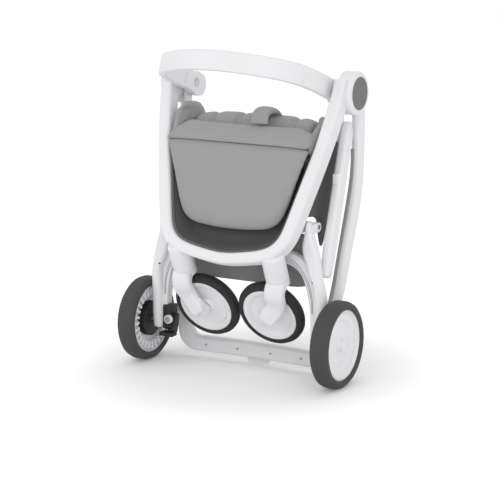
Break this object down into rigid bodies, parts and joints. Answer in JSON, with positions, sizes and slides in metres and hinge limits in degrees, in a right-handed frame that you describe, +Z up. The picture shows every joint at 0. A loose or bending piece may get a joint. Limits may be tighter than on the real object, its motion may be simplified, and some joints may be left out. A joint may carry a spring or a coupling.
{
  "type": "folded stroller",
  "caption": "Folded stroller on wheels with a padded seat, push handle, top bar, swivelling casters, fold linkage and foot brake.",
  "frame": {"origin": "middle of the whole seen from above, on the floor", "axes": "+X to the stroller's right as seen from the front, +Y to the back, +Z up"},
  "size_m": [0.56, 0.3084, 0.7704],
  "materials": {
    "frame_white": "satin",
    "wheel_white": "satin",
    "cap_grey": "satin",
    "steel": "brushed",
    "tyre_grey": "matte",
    "tyre_black": "matte",
    "black_plastic": "matte",
    "strip_grey": "matte",
    "fabric_light": "woven",
    "fabric_dark": "woven",
    "binding_grey": "ribbed",
    "webbing_grey": "webbing",
    "basket_grey": "woven"
  },
  "bodies": {
    "frame": {"front_frame": "frame_white", "hub_shafts": "steel", "leg_pivots": "steel", "seat_bolster": "fabric_light", "back_cushion": "fabric_light", "seat_panel": "fabric_light", "footwell": "fabric_dark", "edge_binding": "binding_grey", "carry_loop": "webbing_grey", "wing_left": "fabric_light", "wing_right": "fabric_light", "side_cloth_left": "fabric_dark", "side_cloth_right": "fabric_dark"},
    "handle": {"handle": "frame_white", "handle_strips": "strip_grey", "stand_foot": "frame_white"},
    "top_bar": {"top_bar": "frame_white"},
    "rear_frame": {"rear_frame": "frame_white", "leg_eyes": "black_plastic", "rear_axles": "steel", "brake_housing": "black_plastic", "basket": "basket_grey"},
    "brake_pedal": {"brake_pedal": "black_plastic"},
    "knob_button_left": {"knob_button_left": "cap_grey"},
    "bar_button_left": {"bar_button_left": "frame_white"},
    "crank_left": {"crank_left": "cap_grey"},
    "strut_left": {"strut_left": "frame_white"},
    "rear_wheel_left": {"rear_hub_left": "wheel_white", "rear_tyre_left": "tyre_grey", "brake_gear_left": "black_plastic"},
    "caster_left": {"caster_fork_left": "frame_white"},
    "caster_wheel_left": {"caster_hub_left": "wheel_white", "caster_tyre_left": "tyre_black"},
    "knob_button_right": {"knob_button_right": "cap_grey"},
    "bar_button_right": {"bar_button_right": "frame_white"},
    "crank_right": {"crank_right": "cap_grey"},
    "strut_right": {"strut_right": "frame_white"},
    "rear_wheel_right": {"rear_hub_right": "wheel_white", "rear_tyre_right": "tyre_grey", "brake_gear_right": "black_plastic"},
    "caster_right": {"caster_fork_right": "frame_white"},
    "caster_wheel_right": {"caster_hub_right": "wheel_white", "caster_tyre_right": "tyre_black"}
  },
  "joints": [
    {"name": "handle_fold", "type": "hinge", "parent": "frame", "child": "handle", "pos_m": [0, 0.0991, 0.662], "axis": [1, 0, 0], "range_deg": [0, 160]},
    {"name": "rear_fold", "type": "hinge", "parent": "frame", "child": "rear_frame", "pos_m": [0, 0.0061, 0.364], "axis": [1, 0, 0], "range_deg": [0, 82.01]},
    {"name": "top_bar_lift", "type": "hinge", "parent": "frame", "child": "top_bar", "pos_m": [0, 0.0991, 0.662], "axis": [-1, 0, 0], "range_deg": [0, 25]},
    {"name": "brake_pedal_press", "type": "hinge", "parent": "rear_frame", "child": "brake_pedal", "pos_m": [-0.19, -0.0089, 0.112], "axis": [1, 0, 0], "range_deg": [0, 18]},
    {"name": "crank_turn_left", "type": "hinge", "parent": "frame", "child": "crank_left", "pos_m": [-0.203, 0.0991, 0.662], "axis": [1, 0, 0], "range_deg": [0, 82.01]},
    {"name": "strut_turn_left", "type": "hinge", "parent": "crank_left", "child": "strut_left", "pos_m": [-0.219, 0.0971, 0.56], "axis": [1, 0, 0], "range_deg": [-82.01, 0]},
    {"name": "rear_wheel_roll_left", "type": "hinge", "parent": "rear_frame", "child": "rear_wheel_left", "pos_m": [-0.2575, -0.0129, 0.101], "axis": [1, 0, 0], "continuous": true},
    {"name": "knob_button_press_left", "type": "slide", "parent": "handle", "child": "knob_button_left", "axis": [1, 0, 0], "range_m": [0, 0.003], "stiffness_N_per_m": 400},
    {"name": "bar_button_press_left", "type": "slide", "parent": "top_bar", "child": "bar_button_left", "axis": [1, 0, 0], "range_m": [0, 0.002], "stiffness_N_per_m": 400},
    {"name": "caster_swivel_left", "type": "hinge", "parent": "frame", "child": "caster_left", "pos_m": [-0.124, -0.0529, 0.249], "axis": [0, 0.3955, -0.9184], "range_deg": [0, 90]},
    {"name": "caster_roll_left", "type": "hinge", "parent": "caster_left", "child": "caster_wheel_left", "pos_m": [-0.086, -0.00993, 0.15427], "axis": [0, -0.9184, -0.3955], "continuous": true},
    {"name": "crank_turn_right", "type": "hinge", "parent": "frame", "child": "crank_right", "pos_m": [0.203, 0.0991, 0.662], "axis": [1, 0, 0], "range_deg": [0, 82.01]},
    {"name": "strut_turn_right", "type": "hinge", "parent": "crank_right", "child": "strut_right", "pos_m": [0.219, 0.0971, 0.56], "axis": [1, 0, 0], "range_deg": [-82.01, 0]},
    {"name": "rear_wheel_roll_right", "type": "hinge", "parent": "rear_frame", "child": "rear_wheel_right", "pos_m": [0.2575, -0.0129, 0.101], "axis": [1, 0, 0], "continuous": true},
    {"name": "knob_button_press_right", "type": "slide", "parent": "handle", "child": "knob_button_right", "axis": [-1, 0, 0], "range_m": [0, 0.003], "stiffness_N_per_m": 400},
    {"name": "bar_button_press_right", "type": "slide", "parent": "top_bar", "child": "bar_button_right", "axis": [-1, 0, 0], "range_m": [0, 0.002], "stiffness_N_per_m": 400},
    {"name": "caster_swivel_right", "type": "hinge", "parent": "frame", "child": "caster_right", "pos_m": [0.124, -0.0529, 0.249], "axis": [0, -0.3955, 0.9184], "range_deg": [0, 90]},
    {"name": "caster_roll_right", "type": "hinge", "parent": "caster_right", "child": "caster_wheel_right", "pos_m": [0.086, -0.00993, 0.15427], "axis": [0, -0.9184, -0.3955], "continuous": true}
  ],
  "couplings": [
    {"joint": "rear_fold", "follows": "handle_fold", "ratio": 0.5125},
    {"joint": "crank_turn_left", "follows": "handle_fold", "ratio": 0.5125},
    {"joint": "strut_turn_left", "follows": "handle_fold", "ratio": -0.5125},
    {"joint": "crank_turn_right", "follows": "handle_fold", "ratio": 0.5125},
    {"joint": "strut_turn_right", "follows": "handle_fold", "ratio": -0.5125}
  ]
}
